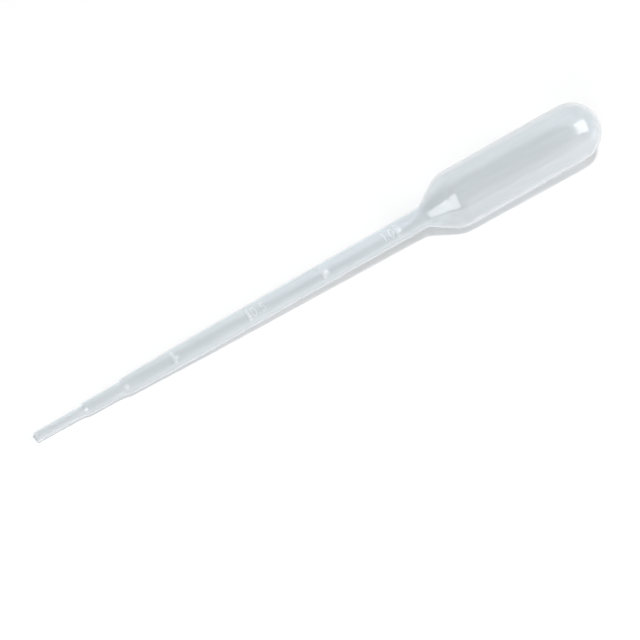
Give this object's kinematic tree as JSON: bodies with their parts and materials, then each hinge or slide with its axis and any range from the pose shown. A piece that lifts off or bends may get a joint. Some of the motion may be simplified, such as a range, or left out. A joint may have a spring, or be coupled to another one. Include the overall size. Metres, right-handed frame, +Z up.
{
  "type": "plastic dropper pipette",
  "caption": "One-piece translucent dropper pipette: a fine open tip and a graduated hollow stem widen into a round-ended squeeze bulb.",
  "frame": {"origin": "on the floor, under the middle of the pipette's box", "axes": "+X along the pipette from its tip to its bulb, +Y across it, +Z up; it lies at rest on its tip and on its bulb's shoulder, so its own axis rises 2.8 degrees towards the bulb"},
  "size_m": [0.1516, 0.0136, 0.015],
  "materials": {
    "polyethylene": "translucent natural low-density polyethylene with a soft moulded sheen"
  },
  "bodies": {
    "root": {"pipette": "polyethylene"}
  },
  "joints": []
}
